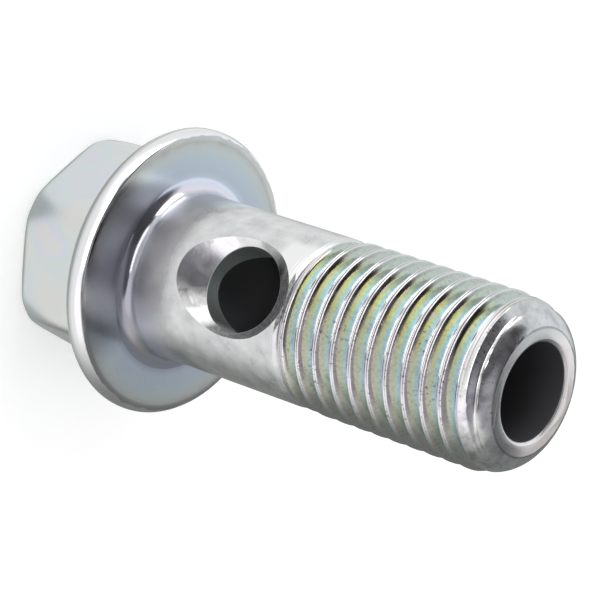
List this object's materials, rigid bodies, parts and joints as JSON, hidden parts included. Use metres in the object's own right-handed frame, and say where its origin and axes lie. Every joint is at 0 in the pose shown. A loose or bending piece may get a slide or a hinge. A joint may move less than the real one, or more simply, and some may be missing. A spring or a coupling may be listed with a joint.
{
  "type": "banjo bolt",
  "caption": "Flanged hexagon banjo bolt with a fine male thread, a blind axial bore and a countersunk cross hole through its shank.",
  "frame": {"origin": "middle of the head's outer face, the low end of the bolt", "axes": "+Z along the bolt's axis, from the head to the thread end; +X along the cross hole's axis; +Y completes a right-handed frame"},
  "size_m": [0.0172, 0.0172, 0.0333],
  "materials": {
    "zinc_plated_steel": "bright zinc plate with a faint blue and yellow passivation"
  },
  "bodies": {
    "root": {"banjo_bolt": "zinc_plated_steel"}
  },
  "joints": []
}
